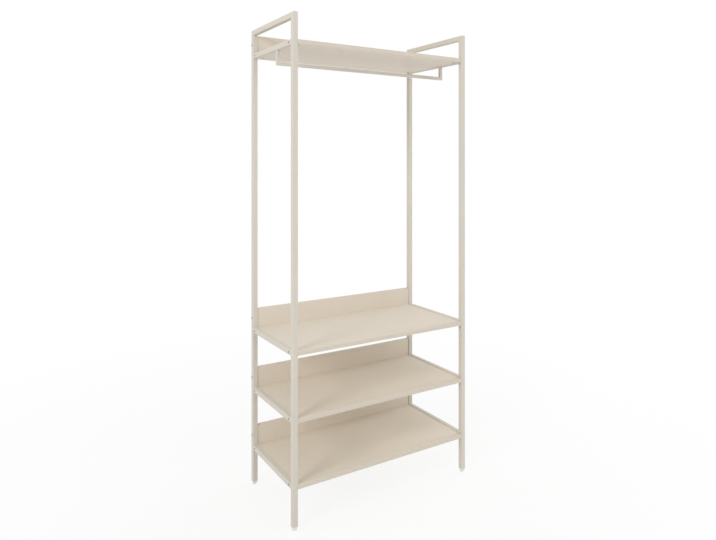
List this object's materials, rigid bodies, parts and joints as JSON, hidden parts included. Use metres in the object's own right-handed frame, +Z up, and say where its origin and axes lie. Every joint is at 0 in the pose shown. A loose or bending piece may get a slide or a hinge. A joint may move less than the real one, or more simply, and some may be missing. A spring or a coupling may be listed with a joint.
{
  "type": "open frame wardrobe",
  "caption": "Open wardrobe with square-tube end frames, four board shelves with raised backs, a square hanging rail under the top shelf and levelling feet.",
  "frame": {"origin": "on the floor, at the middle of the footprint", "axes": "+Z up, +X to the right seen from the front, front faces -Y"},
  "size_m": [0.8044, 0.4, 1.85],
  "materials": {
    "frame_paint": "matt warm ivory powder coat",
    "board_lacquer": "fibreboard with a matt warm ivory lacquer",
    "plated_screws": "zinc-plated steel",
    "zinc_steel": "bright zinc plating",
    "plug_plastic": "white moulded plastic",
    "foot_plastic": "white moulded plastic"
  },
  "bodies": {
    "frame": {"clothes_rail_bar": "frame_paint", "clothes_rail_inserts": "zinc_steel", "clothes_rail_left_leg": "frame_paint", "clothes_rail_right_leg": "frame_paint", "clothes_rail_screws": "plated_screws", "left_front_foot_plug": "plug_plastic", "left_front_post": "frame_paint", "left_lower_cross_rail": "frame_paint", "left_middle_cross_rail": "frame_paint", "left_rear_foot_plug": "plug_plastic", "left_rear_post": "frame_paint", "left_top_bar": "frame_paint", "left_top_cross_rail": "frame_paint", "left_upper_cross_rail": "frame_paint", "lower_shelf": "board_lacquer", "lower_upstand": "board_lacquer", "middle_shelf": "board_lacquer", "middle_upstand": "board_lacquer", "right_front_foot_plug": "plug_plastic", "right_front_post": "frame_paint", "right_lower_cross_rail": "frame_paint", "right_middle_cross_rail": "frame_paint", "right_rear_foot_plug": "plug_plastic", "right_rear_post": "frame_paint", "right_top_bar": "frame_paint", "right_top_cross_rail": "frame_paint", "right_upper_cross_rail": "frame_paint", "shelf_nuts": "zinc_steel", "shelf_screws": "plated_screws", "top_shelf": "board_lacquer", "top_upstand": "board_lacquer", "upper_shelf": "board_lacquer", "upper_upstand": "board_lacquer", "upstand_nuts": "zinc_steel", "upstand_screws": "plated_screws"},
    "left_front_foot": {"left_front_levelling_foot": "foot_plastic"},
    "left_rear_foot": {"left_rear_levelling_foot": "foot_plastic"},
    "right_front_foot": {"right_front_levelling_foot": "foot_plastic"},
    "right_rear_foot": {"right_rear_levelling_foot": "foot_plastic"}
  },
  "joints": [
    {"name": "left_front_foot_height", "type": "slide", "parent": "frame", "child": "left_front_foot", "axis": [0, 0, -1], "range_m": [0, 0.012]},
    {"name": "left_rear_foot_height", "type": "slide", "parent": "frame", "child": "left_rear_foot", "axis": [0, 0, -1], "range_m": [0, 0.012]},
    {"name": "right_front_foot_height", "type": "slide", "parent": "frame", "child": "right_front_foot", "axis": [0, 0, -1], "range_m": [0, 0.012]},
    {"name": "right_rear_foot_height", "type": "slide", "parent": "frame", "child": "right_rear_foot", "axis": [0, 0, -1], "range_m": [0, 0.012]}
  ]
}
